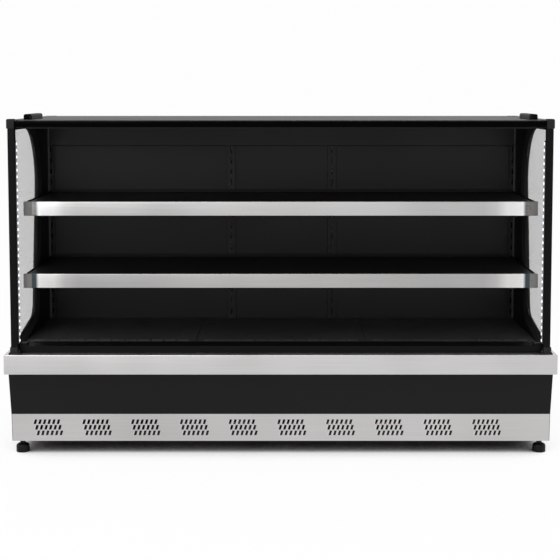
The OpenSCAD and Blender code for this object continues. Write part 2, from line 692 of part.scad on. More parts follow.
// Folded rail: a face with returns along its top and bottom, and a leg against the pan
module shelf_rail(slot, set) color(c_steel) {
  top = shelf_z(slot) + rail_rise;
  half = rail_x - rail_cap_w;
  y = shelf_y(set);
  wide_block(half, [y, y + sheet], [top - rail_h, top]);
  wide_block(half, [y, y + rail_t], [top - sheet, top]);
  wide_block(half, [y + rail_t - sheet, y + rail_t], [top - rail_rise - 14, top]);
  wide_block(half, [y, y + rail_t], [top - rail_h, top - rail_h + sheet]);
}
module rail_caps(slot, set) color(c_grey) both_ends() {
  top = shelf_z(slot) + rail_rise;
  y = shelf_y(set);
  difference() {
    block([rail_x - rail_cap_w + gap / 3, rail_x], [y - 0.5, y + rail_t + 1], [top - rail_h, top]);
    block([rail_x - rail_cap_w - 1, rail_x - 2.5], [y + 2, y + rail_t + 2],
      [top - rail_h + 2, top - 2]);
  }
}
module shelf_pan_top() shelf_pan(top_slot, top_set);
module shelf_brackets_top() shelf_brackets(top_slot, top_set);
module shelf_rail_top() shelf_rail(top_slot, top_set);
module rail_caps_top() rail_caps(top_slot, top_set);
module shelf_pan_mid() shelf_pan(mid_slot, mid_set);
module shelf_brackets_mid() shelf_brackets(mid_slot, mid_set);
module shelf_rail_mid() shelf_rail(mid_slot, mid_set);
module rail_caps_mid() rail_caps(mid_slot, mid_set);

// Fans, drawn with the axis along Z and set with it along the depth
module fan_frame(size, tip_r, deep) {
  hub = tip_r * 0.38;
  motor_h = deep * 0.45;
  difference() {
    translate([-size / 2, -size / 2, 0]) cube([size, size, deep]);
    translate([0, 0, -1]) cylinder(r = tip_r + 2, h = deep + 2);
  }
  translate([0, 0, deep - motor_h]) cylinder(r = hub, h = motor_h);
  for (a = [45:90:315]) rotate([0, 0, a]) translate([hub - 1, -3, deep - 4])
    cube([tip_r - hub + 4, 6, 4]);
  translate([0, 0, 5]) cylinder(r = fan_shaft_r, h = deep - motor_h - 4);
}
module fan_rotor(tip_r, deep) {
  hub = tip_r * 0.38;
  rotor_h = deep * 0.55 - 6;
  difference() {
    union() {
      translate([0, 0, 5]) cylinder(r = hub, h = rotor_h);
      intersection() {
        translate([0, 0, 4]) cylinder(r = tip_r, h = rotor_h + 1);
        for (a = [0:72:288]) rotate([0, 0, a]) translate([hub - 1, 0, 5 + rotor_h / 2])
          rotate([38, 0, 0]) translate([0, -deep, -0.8]) cube([tip_r, 2 * deep, 1.6]);
      }
    }
    translate([0, 0, 1]) cylinder(r = fan_shaft_r + run_gap, h = deep);
  }
}
module fan_at(x, y, z) translate([x, y, z]) rotate([-90, 0, 0]) children();
fan_xs = [for (i = [0:FANS - 1]) (i - (FANS - 1) / 2) * fan_pitch];
module fan_plate() color(c_zinc) difference() {
  wide_block(inner_x, [y_fan_plate, y_fan_plate + sheet], [z_floor + sheet, z_ledge]);
  for (x = fan_xs) translate([x, 0, fan_z])
    bar_y(fan_tip_r + 2, [y_fan_plate - 1, y_fan_plate + sheet + 1]);
}
module evaporator_fan_frames() color(c_rubber) for (x = fan_xs)
  fan_at(x, y_fan_plate + sheet, fan_z) fan_frame(fan_size, fan_tip_r, fan_deep);
module evaporator_fan(i) color(c_trim)
  fan_at(fan_xs[i], y_fan_plate + sheet, fan_z) fan_rotor(fan_tip_r, fan_deep);
module evaporator_fan_left() evaporator_fan(0);
module evaporator_fan_mid() evaporator_fan(1);
module evaporator_fan_right() evaporator_fan(2);

// Coils: thin fins on straight tubes that return through bends. With an even number of
// levels, each row of tubes starts and ends on the right.
tube_out = 6;
function spaced(span, n) = [for (i = [0:n - 1]) span[0] + (span[1] - span[0]) * (i + 0.5) / n];
module coil(x, y, z, fin_pitch, rows, levels, tube_r) {
  fins = floor((x[1] - x[0]) / fin_pitch);
  dz = (z[1] - z[0]) / levels;
  ys = spaced(y, rows);
  zs = spaced(z, levels);
  for (i = [0:fins]) let (at = x[0] + i * fin_pitch) along_x([at, at + 0.6]) difference() {
    translate([y[0], z[0]]) square([y[1] - y[0], z[1] - z[0]]);
    for (a = ys, b = zs) translate([a, b]) circle(tube_r + run_gap, $fn = 24);
  }
  for (a = ys, b = zs) translate([0, a, b])
    bar_x(tube_r, [x[0] - tube_out, x[1] + tube_out], $fn = 24);
  for (a = ys, k = [0:levels - 2]) let (right = k % 2 == 1)
    translate([right ? x[1] + tube_out : x[0] - tube_out, a, (zs[k] + zs[k + 1]) / 2])
      rotate([0, right ? 90 : -90, 0]) rotate([90, 0, 0]) rotate_extrude(angle = 180, $fn = 24)
        translate([dz / 2, 0]) circle(tube_r, $fn = 24);
}
evap_rows = 3;
evap_levels = 4;
module evaporator_coil() color(c_zinc) {
  coil([evap_x, evap_x + evap_l], evap_y, evap_z, 40, evap_rows, evap_levels, 5);
  for (x = [evap_x - 2.5, evap_x + evap_l + 1.5])
    block([x, x + 1.5], [evap_y[0], evap_y[1]], [z_floor + sheet, evap_z[0] - 0.2]);
}
cond_x = [cond_at[0] - cond_l / 2, cond_at[0] + cond_l / 2];
cond_y = [cond_at[1] - cond_deep / 2, cond_at[1] + cond_deep / 2];
cond_z = [z_pan, z_pan + cond_h];
cond_rows = 2;
cond_levels = 6;
module condenser_coil() color(c_zinc)
  coil(cond_x, cond_y, cond_z, 20, cond_rows, cond_levels, 4);
y_shroud = cond_y[1] + gap;
cond_fan_z = z_pan + cond_h / 2;
module condenser_fan_frame() color(c_trim) {
  difference() {
    block(cond_x, [y_shroud, y_shroud + 1.5], cond_z);
    translate([cond_at[0], 0, cond_fan_z]) bar_y(cond_tip_r + 2, [y_shroud - 1, y_shroud + 3]);
  }
  fan_at(cond_at[0], y_shroud + 1.5, cond_fan_z) fan_frame(2 * cond_tip_r + 12, cond_tip_r, 50);
}
module condenser_fan() color(c_trim)
  fan_at(cond_at[0], y_shroud + 1.5, cond_fan_z) fan_rotor(cond_tip_r, 50);

// Compressor: a welded can with a domed top on a foot plate with four rubber mounts
mount_h = 10;
module compressor() color(c_rubber) translate([comp_at[0], comp_at[1], z_pan]) {
  foot = comp_r + 14;
  for (x = [-foot, foot], y = [-60, 60]) translate([x, y, 0]) cylinder(r = 10, h = mount_h);
  block([-foot - 14, foot + 14], [-74, 74], [mount_h, mount_h + 3]);
  translate([0, 0, mount_h + 2.9]) rotate_extrude() polygon(concat(
    [[0, 0], [comp_r - 8, 0], [comp_r, 8]],
    [for (a = [0:9:90]) [comp_r - 34 * (1 - cos(a)), comp_h - 40 + 30 * sin(a)]],
    [[0, comp_h - 10]]));
  block([-22, 22], [comp_r - 4, comp_r + 30], [40, 100]);
}
// Pipes run square to each other, with a ball at each bend
module pipe(r, route) {
  for (i = [0:len(route) - 2]) let (a = route[i], b = route[i + 1], v = b - a,
      turn = abs(v[0]) > 0 ? [0, 90, 0] : abs(v[1]) > 0 ? [-90, 0, 0] : [0, 0, 0],
      start = v[0] + v[1] + v[2] > 0 ? a : b)
    translate(start) rotate(turn) cylinder(r = r, h = norm(v), $fn = 24);
  for (i = [1:len(route) - 2]) translate(route[i]) sphere(r, $fn = 24);
}
suction_z = z_pan + 108;
drier_r = 12;
module refrigerant_pipes() color(c_copper) {
  evap_end = evap_x + evap_l + tube_out + gap;
  evap_ys = spaced(evap_y, evap_rows);
  evap_zs = spaced(evap_z, evap_levels);
  cond_end = cond_x[1] + tube_out + gap;
  cond_row = spaced(cond_y, cond_rows)[1];
  cond_zs = spaced(cond_z, cond_levels);
  hot_z = cond_zs[cond_levels - 1];
  liquid_z = cond_zs[0];
  up = [pipe_hole[0] - 14, pipe_hole[1] + 8];
  down = [pipe_hole[0] + 14, pipe_hole[1] - 10];
  back_x = comp_at[0] + comp_r + 60;
  hot_x = comp_at[0] - comp_r - 84;
  evap_top = evap_zs[evap_levels - 1];
  // Suction line, from the evaporator to the compressor
  pipe(5, [[evap_end, evap_ys[1], evap_top], [up[0], evap_ys[1], evap_top],
    [up[0], up[1], evap_top], [up[0], up[1], suction_z], [back_x, up[1], suction_z],
    [back_x, comp_at[1], suction_z], [comp_at[0] + comp_r + gap, comp_at[1], suction_z]]);
  // Hot gas line, from the compressor to the condenser
  pipe(4, [[comp_at[0] - comp_r - gap, comp_at[1], suction_z], [hot_x, comp_at[1], suction_z],
    [hot_x, cond_row, suction_z], [hot_x, cond_row, hot_z], [cond_end, cond_row, hot_z]]);
  // Liquid line, through the drier to the evaporator
  pipe(4, [[cond_end, cond_row, liquid_z], [down[0], cond_row, liquid_z],
    [down[0], down[1], liquid_z], [down[0], down[1], evap_zs[0]],
    [down[0], evap_ys[0], evap_zs[0]], [evap_end, evap_ys[0], evap_zs[0]]]);
  translate([cond_end + 160, cond_row, liquid_z]) bar_x(drier_r, [0, 110], $fn = 24);
}
// Drain from the tub's floor to a spigot that passes through the base pan
module drain_pipe() color(c_grey) {
  y = drain_at[1] - 80;
  z = z_tub - 34;
  low = ground_clear + 2;
  difference() {
    union() {
      translate([drain_at[0], y, z]) cylinder(r = drain_pipe_r, h = z_floor + sheet - z);
      translate([drain_at[0], y, z]) sphere(drain_pipe_r);
      translate([drain_at[0], 0, z]) bar_y(drain_pipe_r, [y, drain_at[1]]);
      translate([drain_at[0], drain_at[1], z]) sphere(drain_pipe_r);
      translate([drain_at[0], drain_at[1], z_pan]) cylinder(r = drain_pipe_r, h = z - z_pan);
      translate([drain_at[0], drain_at[1], low]) cylinder(r = drain_r, h = z - low);
    }
    translate([drain_at[0], y, z]) cylinder(r = drain_r - 2.5, h = z_floor - z + 9);
    translate([drain_at[0], 0, z]) bar_y(drain_r - 2.5, [y, drain_at[1]]);
    translate([drain_at[0], drain_at[1], low - 1]) cylinder(r = drain_r - 2.5, h = z - low + 1);
  }
}
// Electrical box, open towards the base pan, with the controller's bezel on its rear
module electrical_box() color(c_grey) difference() {
  union() {
    block(box_x, box_y, box_z);
    block(display_x, [box_y[1] - 1, box_y[1] + 4],
      [controls_mid - display_h / 2, controls_mid + display_h / 2]);
  }
  block([box_x[0] + 3, box_x[1] - 3], [box_y[0] + 3, box_y[1] - 3], [box_z[0] - 1, box_z[1] - 3]);
  translate([gland_x, 0, controls_mid]) bar_y(9 + run_gap, [box_y[1] - 5, box_y[1] + 1]);
}
module cable_gland() color(c_rubber) translate([gland_x, 0, controls_mid]) difference() {
  union() {
    bar_y(9, [box_y[1] - 12, box_y[1] + 1]);
    translate([0, box_y[1], 0]) rotate([-90, 0, 0]) cylinder(r = 13, h = 8, $fn = 6);
    bar_y(10, [box_y[1] + 7, box_y[1] + 18]);
  }
  bar_y(cable_r, [box_y[1] - 13, box_y[1] + 19]);
}

// Screws with round heads in the two rear panels
module fasteners() color(c_zinc)
  at_screws(concat(service_screws(), rear_screws())) {
    bar_y(screw_r, [y_rear - screw_l, y_rear + 0.1]);
    bar_y(4.5, [y_rear, y_rear + head_h]);
  }

// Levelling feet: a round pad and a threaded stem in the frame's boss
stem_top = ground_clear + frame_h - 8;
module foot(x, y) color(c_rubber) translate([x, y, 0]) {
  rotate_extrude() polygon([
    [0, 0], [foot_r - 1.5, 0], [foot_r, 1.5], [foot_r, 10], [foot_r - 4, 15],
    [foot_r - 7, pad_h - 3], [foot_r - 9, pad_h], [0, pad_h]]);
  translate([0, 0, pad_h - 1]) cylinder(r = stem_r, h = stem_top - pad_h + 1);
  translate([0, 0, pad_h - 1]) cylinder(r = 11, h = 9, $fn = 6);
}
module foot_front_left() foot(-foot_x, frame_y);
module foot_front_right() foot(foot_x, frame_y);
module foot_rear_left() foot(-foot_x, frame_rear_y);
module foot_rear_right() foot(foot_x, frame_rear_y);

base_frame();
base_pan();
base_sides();
plinth_grille();
front_panel();
bumper();
rear_service_panel();
tub_case();
tub_insulation();
tub_liner();
side_panel_left();
side_panel_right();
side_liners();
wall_insulation();
rear_panel();
duct_liner();
roof_panel();
ceiling_panel();
air_outlet_grille();
roof_bars();
canopy_bar();
front_post_left();
front_post_right();
post_caps();
led_strips();
end_glass_left();
end_glass_right();
glass_seals();
window_surrounds();
back_panels();
shelf_uprights();
deck_lip();
deck_pans();
fan_plate();
evaporator_fan_frames();
evaporator_coil();
condenser_coil();
condenser_fan_frame();
compressor();
refrigerant_pipes();
electrical_box();
cable_gland();
drain_pipe();
fasteners();
shelf_pan_top();
shelf_brackets_top();
shelf_rail_top();
rail_caps_top();
shelf_pan_mid();
shelf_brackets_mid();
shelf_rail_mid();
rail_caps_mid();
evaporator_fan_left();
evaporator_fan_mid();
evaporator_fan_right();
condenser_fan();
foot_front_left();
foot_front_right();
foot_rear_left();
foot_rear_right();
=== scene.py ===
import json
from math import atan2, pi, radians

import bpy
from mathutils import Matrix, Vector

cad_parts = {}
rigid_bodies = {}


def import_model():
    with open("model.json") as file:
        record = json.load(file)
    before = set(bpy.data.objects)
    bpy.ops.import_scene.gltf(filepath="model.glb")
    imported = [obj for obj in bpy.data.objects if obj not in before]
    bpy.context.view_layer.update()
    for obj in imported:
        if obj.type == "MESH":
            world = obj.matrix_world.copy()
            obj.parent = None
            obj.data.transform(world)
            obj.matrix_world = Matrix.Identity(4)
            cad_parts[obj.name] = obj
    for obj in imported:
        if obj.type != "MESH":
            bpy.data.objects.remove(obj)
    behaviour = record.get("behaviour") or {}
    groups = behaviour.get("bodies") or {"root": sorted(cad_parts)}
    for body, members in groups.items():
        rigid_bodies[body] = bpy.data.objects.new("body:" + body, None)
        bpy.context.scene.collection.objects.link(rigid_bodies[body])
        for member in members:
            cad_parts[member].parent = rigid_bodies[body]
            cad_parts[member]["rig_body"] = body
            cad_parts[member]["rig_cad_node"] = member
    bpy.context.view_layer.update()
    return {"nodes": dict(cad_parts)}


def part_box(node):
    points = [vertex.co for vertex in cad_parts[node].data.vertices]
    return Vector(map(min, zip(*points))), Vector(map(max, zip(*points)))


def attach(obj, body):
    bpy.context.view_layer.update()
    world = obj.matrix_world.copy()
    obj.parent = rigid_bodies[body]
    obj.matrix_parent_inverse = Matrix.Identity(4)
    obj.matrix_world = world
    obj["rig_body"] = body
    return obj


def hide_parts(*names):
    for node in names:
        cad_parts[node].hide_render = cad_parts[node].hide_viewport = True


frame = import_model()
scene = bpy.context.scene
scene.view_settings.view_transform = "Standard"

# Camera and studio
# The counter is seen from in front, at eye height, with a long lens. The room is white, and a
# broad lamp in front lights the object. The floor is white paper that glows white where it is seen;
# under the object the glow fades with ambient occlusion, a painted shadow, with a little real
# shading.
look_down = 4.522
bpy.ops.object.camera_add(location=(0.0354, -5.0, 1.38), rotation=(radians(90 - look_down), 0, 0))
camera = bpy.context.object
camera.data.sensor_width = 36
camera.data.lens = 81.3
camera.data.shift_x = -0.0182
camera.data.shift_y = -0.162
scene.camera = camera


def seen_directly(tree):
    """1 where the camera looks, also in a mirror image or through glass, else 0."""
    path = tree.nodes.new("ShaderNodeLightPath")
    seen = path.outputs["Is Camera Ray"]
    for other in ("Is Glossy Ray", "Is Transmission Ray"):
        either = tree.nodes.new("ShaderNodeMath")
        either.operation = "MAXIMUM"
        tree.links.new(seen, either.inputs[0])
        tree.links.new(path.outputs[other], either.inputs[1])
        seen = either.outputs[0]
    return seen


bpy.ops.mesh.primitive_plane_add(size=90, location=(0, 0, 0))
floor = bpy.context.object
floor.name = "floor"
paper = bpy.data.materials.new("floor_paper")
paper.use_nodes = True
tree = paper.node_tree
matte = tree.nodes["Principled BSDF"]
matte.inputs["Base Color"].default_value = (0.93, 0.93, 0.93, 1)
matte.inputs["Roughness"].default_value = 0.8
matte.inputs["Specular IOR Level"].default_value = 0.0
# Ambient occlusion dims the floor's glow near the object: a painted contact shadow.
openness = tree.nodes.new("ShaderNodeAmbientOcclusion")
openness.samples = 12
openness.inputs["Distance"].default_value = 0.3
shade = tree.nodes.new("ShaderNodeMapRange")
shade.interpolation_type = "SMOOTHSTEP"
shade.inputs["From Min"].default_value = 0.1
shade.inputs["From Max"].default_value = 0.62
white = tree.nodes.new("ShaderNodeEmission")
paper_mix = tree.nodes.new("ShaderNodeMixShader")
share = tree.nodes.new("ShaderNodeMath")
share.operation = "MULTIPLY"
share.inputs[1].default_value = 0.95
tree.links.new(openness.outputs["AO"], shade.inputs["Value"])
tree.links.new(shade.outputs["Result"], white.inputs["Strength"])
tree.links.new(seen_directly(tree), share.inputs[0])
tree.links.new(share.outputs[0], paper_mix.inputs["Fac"])
tree.links.new(matte.outputs[0], paper_mix.inputs[1])
tree.links.new(white.outputs[0], paper_mix.inputs[2])
tree.links.new(paper_mix.outputs[0], tree.nodes["Material Output"].inputs["Surface"])
floor.data.materials.append(paper)

world = bpy.data.worlds.new("white_room")
world.use_nodes = True
scene.world = world
tree = world.node_tree
room_light = tree.nodes["Background"]
room_light.inputs["Color"].default_value = (1, 1, 1, 1)
room_light.inputs["Strength"].default_value = 0.7
backdrop = tree.nodes.new("ShaderNodeBackground")
backdrop.inputs["Color"].default_value = (0.985, 0.985, 0.985, 1)
which = tree.nodes.new("ShaderNodeMixShader")
tree.links.new(seen_directly(tree), which.inputs["Fac"])
tree.links.new(room_light.outputs[0], which.inputs[1])
tree.links.new(backdrop.outputs[0], which.inputs[2])
tree.links.new(which.outputs[0], tree.nodes["World Output"].inputs["Surface"])

middle = Vector((0, 0, 0.65))
for name, place, across, watts in (
        ("front_lamp", (-2.2, -4.2, 3.2), 3.0, 75),
        ("top_lamp", (0.6, -0.6, 4.2), 2.5, 30)):
    bpy.ops.object.light_add(type="AREA", location=place)
    lamp = bpy.context.object
    lamp.name = name
    lamp.rotation_euler = (middle - Vector(place)).to_track_quat("-Z", "Y").to_euler()
    lamp.data.size = across
    lamp.data.energy = watts


# Base frame and base pan
# Square steel tubes and a pan of sheet steel, both zinc-coated, carry the counter. Their zinc is
# painted far darker than the tub's, as shade under the counter behind the plinth slots; the coat
# shows a faint bloom of crystals and a dull grey sheen.
def new_group(name, inputs, outputs):
    """A shader node group with its sockets, ready for its nodes."""
    group = bpy.data.node_groups.new(name, "ShaderNodeTree")
    for label, kind, value in inputs:
        group.interface.new_socket(label, in_out="INPUT", socket_type=kind).default_value = value
    for label, kind in outputs:
        group.interface.new_socket(label, in_out="OUTPUT", socket_type=kind)
    return group, group.nodes.new("NodeGroupInput"), group.nodes.new("NodeGroupOutput")


def ranged(group, factor, low, high):
    """A value that goes from low to high as the factor goes from 0.3 to 0.7."""
    node = group.nodes.new("ShaderNodeMapRange")
    node.inputs["From Min"].default_value = 0.3
    node.inputs["From Max"].default_value = 0.7
    group.links.new(factor, node.inputs["Value"])
    group.links.new(low, node.inputs["To Min"])
    group.links.new(high, node.inputs["To Max"])
    return node.outputs["Result"]


def grain_group(name, crystals):
    """Group for a grained surface: fine streaks or crystals, with broad soft changes."""
    group, entry, leave = new_group(
        name,
        [("Dark", "NodeSocketColor", (0.4, 0.4, 0.4, 1)),
         ("Light", "NodeSocketColor", (0.5, 0.5, 0.5, 1)),
         ("Smooth", "NodeSocketFloat", 0.3), ("Rough", "NodeSocketFloat", 0.4),
         ("Stretch", "NodeSocketVector", (100, 100, 100)), ("Depth", "NodeSocketFloat", 0.1)],
        [("Colour", "NodeSocketColor"), ("Roughness", "NodeSocketFloat"),
         ("Normal", "NodeSocketVector")])
    place = group.nodes.new("ShaderNodeTexCoord").outputs["Object"]
    stretched = group.nodes.new("ShaderNodeVectorMath")
    stretched.operation = "MULTIPLY"
    group.links.new(place, stretched.inputs[0])
    group.links.new(entry.outputs["Stretch"], stretched.inputs[1])
    fine = group.nodes.new("ShaderNodeTexVoronoi" if crystals else "ShaderNodeTexNoise")
    fine.inputs["Scale"].default_value = 1
    group.links.new(stretched.outputs[0], fine.inputs["Vector"])
    fine_value = fine.outputs["Color" if crystals else "Fac"]
    broad = group.nodes.new("ShaderNodeTexNoise")
    broad.inputs["Scale"].default_value = 2.5
    group.links.new(place, broad.inputs["Vector"])
    less = group.nodes.new("ShaderNodeMath")
    less.operation = "MULTIPLY"
    less.inputs[1].default_value = 0.6
    both = group.nodes.new("ShaderNodeMath")
    both.operation = "MULTIPLY_ADD"
    both.inputs[1].default_value = 0.4
    group.links.new(broad.outputs["Fac"], less.inputs[0])
    group.links.new(fine_value, both.inputs[0])
    group.links.new(less.outputs[0], both.inputs[2])
    spread = group.nodes.new("ShaderNodeMapRange")
    spread.inputs["From Min"].default_value = 0.3
    spread.inputs["From Max"].default_value = 0.7
    group.links.new(both.outputs[0], spread.inputs["Value"])
    colour = group.nodes.new("ShaderNodeMix")
    colour.data_type = "RGBA"
    group.links.new(spread.outputs["Result"], colour.inputs["Factor"])
    group.links.new(entry.outputs["Dark"], colour.inputs["A"])
    group.links.new(entry.outputs["Light"], colour.inputs["B"])
    group.links.new(colour.outputs["Result"], leave.inputs["Colour"])
    group.links.new(ranged(group, both.outputs[0], entry.outputs["Smooth"], entry.outputs["Rough"]),
                    leave.inputs["Roughness"])
    bump = group.nodes.new("ShaderNodeBump")
    bump.inputs["Distance"].default_value = 0.0004
    group.links.new(entry.outputs["Depth"], bump.inputs["Strength"])
    group.links.new(fine_value, bump.inputs["Height"])
    group.links.new(bump.outputs["Normal"], leave.inputs["Normal"])
    return group


streaks = grain_group("fine_grain", False)
crystals = grain_group("zinc_bloom", True)


def finish_of(name, group, dark, light, smooth, rough, stretch, depth, metallic=0.0, specular=0.5):
    """A material whose colour, roughness and relief come from a grain group."""
    material = bpy.data.materials.new(name)
    material.use_nodes = True
    tree = material.node_tree
    shader = tree.nodes["Principled BSDF"]
    shader.inputs["Metallic"].default_value = metallic
    shader.inputs["Specular IOR Level"].default_value = specular
    grain = tree.nodes.new("ShaderNodeGroup")
    grain.node_tree = group
    values = {"Dark": (*dark, 1), "Light": (*light, 1), "Smooth": smooth, "Rough": rough,
              "Stretch": stretch, "Depth": depth}
    for label, value in values.items():
        grain.inputs[label].default_value = value
    tree.links.new(grain.outputs["Colour"], shader.inputs["Base Color"])
    tree.links.new(grain.outputs["Roughness"], shader.inputs["Roughness"])
    tree.links.new(grain.outputs["Normal"], shader.inputs["Normal"])
    return material


def coat(material, *names):
    """Gives CAD nodes a material."""
    for name in names:
        mesh = frame["nodes"][name].data
        mesh.materials.clear()
        mesh.materials.append(material)


zinc = finish_of("zinc_sheet", crystals, (0.36, 0.37, 0.385), (0.55, 0.56, 0.57), 0.38, 0.55,
                 (70, 70, 70), 0.05, metallic=0.9)
# A darker copy of the zinc: painted shade for parts down under the counter.
shaded_zinc = finish_of("zinc_sheet_painted_shade", crystals, (0.06, 0.062, 0.065), (0.1, 0.102, 0.105),
                      0.5, 0.65, (70, 70, 70), 0.05, metallic=0.6, specular=0.3)
coat(shaded_zinc, "base_frame", "base_pan")


# Levelling feet
# A black coated puck stands on the floor, a zinc-plated nut turns it, and a threaded zinc stem
# screws into a boss of the base frame. Nut and stem are painted black and dark grey, as shade
# under the counter.
def deselect():
    """Nothing stays selected."""
    bpy.ops.object.select_all(action="DESELECT")


def turned(rings, corners):
    """A shape turned about the vertical axis from rings of radius and height, bottom to top."""
    deselect()
    radius, height = rings[0]
    bpy.ops.mesh.primitive_circle_add(vertices=corners, radius=radius, fill_type="NGON",
                                      location=(0, 0, height))
    piece = bpy.context.object
    bpy.ops.object.transform_apply(location=True)
    bpy.ops.object.mode_set(mode="EDIT")
    bpy.ops.mesh.select_all(action="SELECT")
    for wider, higher in rings[1:]:
        bpy.ops.mesh.extrude_region_move(TRANSFORM_OT_translate={"value": (0, 0, higher - height)})
        bpy.ops.transform.resize(value=(wider / radius, wider / radius, 1),
                                 center_override=(0, 0, higher))
        radius, height = wider, higher
    bpy.ops.mesh.select_all(action="SELECT")
    bpy.ops.mesh.normals_make_consistent(inside=False)
    bpy.ops.object.mode_set(mode="OBJECT")
    return piece


def moved(piece, place, turn=None):
    """Turns a piece's mesh about the origin and puts it at a place."""
    piece.data.transform(Matrix.Translation(place) @ (turn or Matrix.Identity(4)))
    return piece


def copy_of(piece):
    """A copy with its own mesh."""
    copy = piece.copy()
    copy.data = piece.data.copy()
    scene.collection.objects.link(copy)
    return copy


def joined(pieces):
    """Makes one mesh of several."""
    deselect()
    for piece in pieces:
        piece.select_set(True)
    bpy.context.view_layer.objects.active = pieces[0]
    if len(pieces) > 1:
        bpy.ops.object.join()
    return bpy.context.object


def hand_over(piece, name, material, body, slot, *nodes, smooth=30):
    """Names a finished piece, gives it its material, and hangs it on its body."""
    piece.name = name
    piece.data.name = name
    if material:
        piece.data.materials.clear()
        piece.data.materials.append(material)
    deselect()
    piece.select_set(True)
    bpy.context.view_layer.objects.active = piece
    bpy.ops.object.shade_smooth_by_angle(angle=radians(smooth))
    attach(piece, body)
    if nodes:
        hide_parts(*nodes)
    return piece


foot_black_and_shade = finish_of("foot_coating", streaks, (0.0028, 0.0028, 0.0028), (0.005, 0.005, 0.005),
                       0.35, 0.5, (500, 500, 500), 0.15, specular=0.17)
puck_rings = [(0.0215, 0), (0.0245, 0.0012), (0.025, 0.003), (0.025, 0.0215), (0.0243, 0.0255),
              (0.0222, 0.0287), (0.0185, 0.031), (0.014, 0.032)]
nut_rings = [(0.0104, 0.032), (0.011, 0.0327), (0.011, 0.0393), (0.0104, 0.04)]
thread_root, thread_crest, thread_start, thread_step = 0.0052, 0.006, 0.0395, 0.000875
thread_rings = [(thread_root if i % 2 == 0 else thread_crest, thread_start + i * thread_step)
                for i in range(37)]
for corner in ("front_left", "front_right", "rear_left", "rear_right"):
    node = "foot_" + corner
    low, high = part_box(node)
    place = ((low.x + high.x) / 2, (low.y + high.y) / 2, 0)
    puck = turned(puck_rings, 48)
    puck.data.materials.append(foot_black_and_shade)
    nut, stem = turned(nut_rings, 6), turned(thread_rings, 20)
    # The zinc-plated nut takes the puck's black: painted shade under the counter.
    nut.data.materials.append(foot_black_and_shade)
    stem.data.materials.append(shaded_zinc)
    foot = moved(joined([puck, nut, stem]), place)
    hand_over(foot, node + "_turned", None, node, "foot_steel", node)


# Lower side panels and front panel
# Folded sheet steel with a satin black powder coat, whose fine orange peel breaks up what it
# mirrors. The folds are softly rounded and catch a thin line of light.
def edit(piece, mode, wanted):
    """Goes to edit mode with only the wanted faces, edges or vertices selected."""
    deselect()
    piece.select_set(True)
    bpy.context.view_layer.objects.active = piece
    bpy.ops.object.mode_set(mode="EDIT")
    bpy.ops.mesh.select_mode(type=mode)
    bpy.ops.mesh.select_all(action="DESELECT")
    bpy.ops.object.mode_set(mode="OBJECT")
    points = [v.co for v in piece.data.vertices]
    if mode == "FACE":
        for face in piece.data.polygons:
            face.select = wanted(face.center, face.normal)
    elif mode == "EDGE":
        for edge in piece.data.edges:
            edge.select = wanted(points[edge.vertices[0]], points[edge.vertices[1]])
    else:
        for vertex in piece.data.vertices:
            vertex.select = wanted(vertex.co)
    bpy.ops.object.mode_set(mode="EDIT")


def done():
    """Back to object mode."""
    bpy.ops.object.mode_set(mode="OBJECT")


def softened(node, radius, material, body="case", slot="black_panel", segments=2):
    """Replaces a CAD node with a merged copy whose sharp edges are rounded."""
    copy = copy_of(frame["nodes"][node])
    copy.parent = None
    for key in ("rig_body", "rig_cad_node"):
        if key in copy:
            del copy[key]
    edit(copy, "FACE", lambda c, n: True)
    bpy.ops.mesh.remove_doubles(threshold=0.00001)
    bpy.ops.mesh.dissolve_limited(angle_limit=radians(0.5))
    done()
    bevel = copy.modifiers.new("rounding", "BEVEL")
    bevel.width = radius
    bevel.segments = segments
    bevel.limit_method = "ANGLE"
    bevel.angle_limit = radians(35)
    bpy.ops.object.modifier_apply(modifier=bevel.name)
    return hand_over(copy, node + "_finished", material, body, slot, node, smooth=15)


powder = finish_of("black_powder_coat", streaks, (0.0036, 0.0035, 0.0032), (0.0058, 0.0057, 0.0053),
                   0.34, 0.46, (700, 700, 700), 0.12, specular=0.17)
softened("base_sides", 0.0005, powder)
softened("front_panel", 0.0004, powder)


# Louvred plinth
# A stainless sheet, brushed along its length. Each slot is lanced, and the metal at its left is
# pressed out to a bright slanted lip, in rows of slanting strokes.
stainless = finish_of("brushed_stainless", streaks, (0.53, 0.525, 0.52), (0.66, 0.65, 0.65),
                      0.3, 0.42, (3, 420, 420), 0.1, metallic=1.0)
# The plinth sheet takes a darker copy of the lips' and bumper's steel: painted shade on the low,
# slightly downward-facing sheet.
shaded_plinth_steel = finish_of("plinth_stainless_painted_shade", streaks, (0.485, 0.478, 0.472), (0.6, 0.59, 0.587),
                      0.3, 0.42, (3, 420, 420), 0.1, metallic=1.0)
coat(shaded_plinth_steel, "plinth_grille")


def block(corner, opposite):
    """A cube primitive between two opposite corners."""
    deselect()
    low, high = (Vector([pick(pair) for pair in zip(corner, opposite)]) for pick in (min, max))
    bpy.ops.mesh.primitive_cube_add(size=1, location=(low + high) / 2, scale=high - low)
    bpy.ops.object.transform_apply(location=True, rotation=True, scale=True)
    return bpy.context.object


def bevelled(piece, wanted, radius, segments=3):
    """Rounds the wanted edges."""
    edit(piece, "EDGE", wanted)
    bpy.ops.mesh.bevel(offset=radius, segments=segments, affect="EDGES")
    done()
    return piece


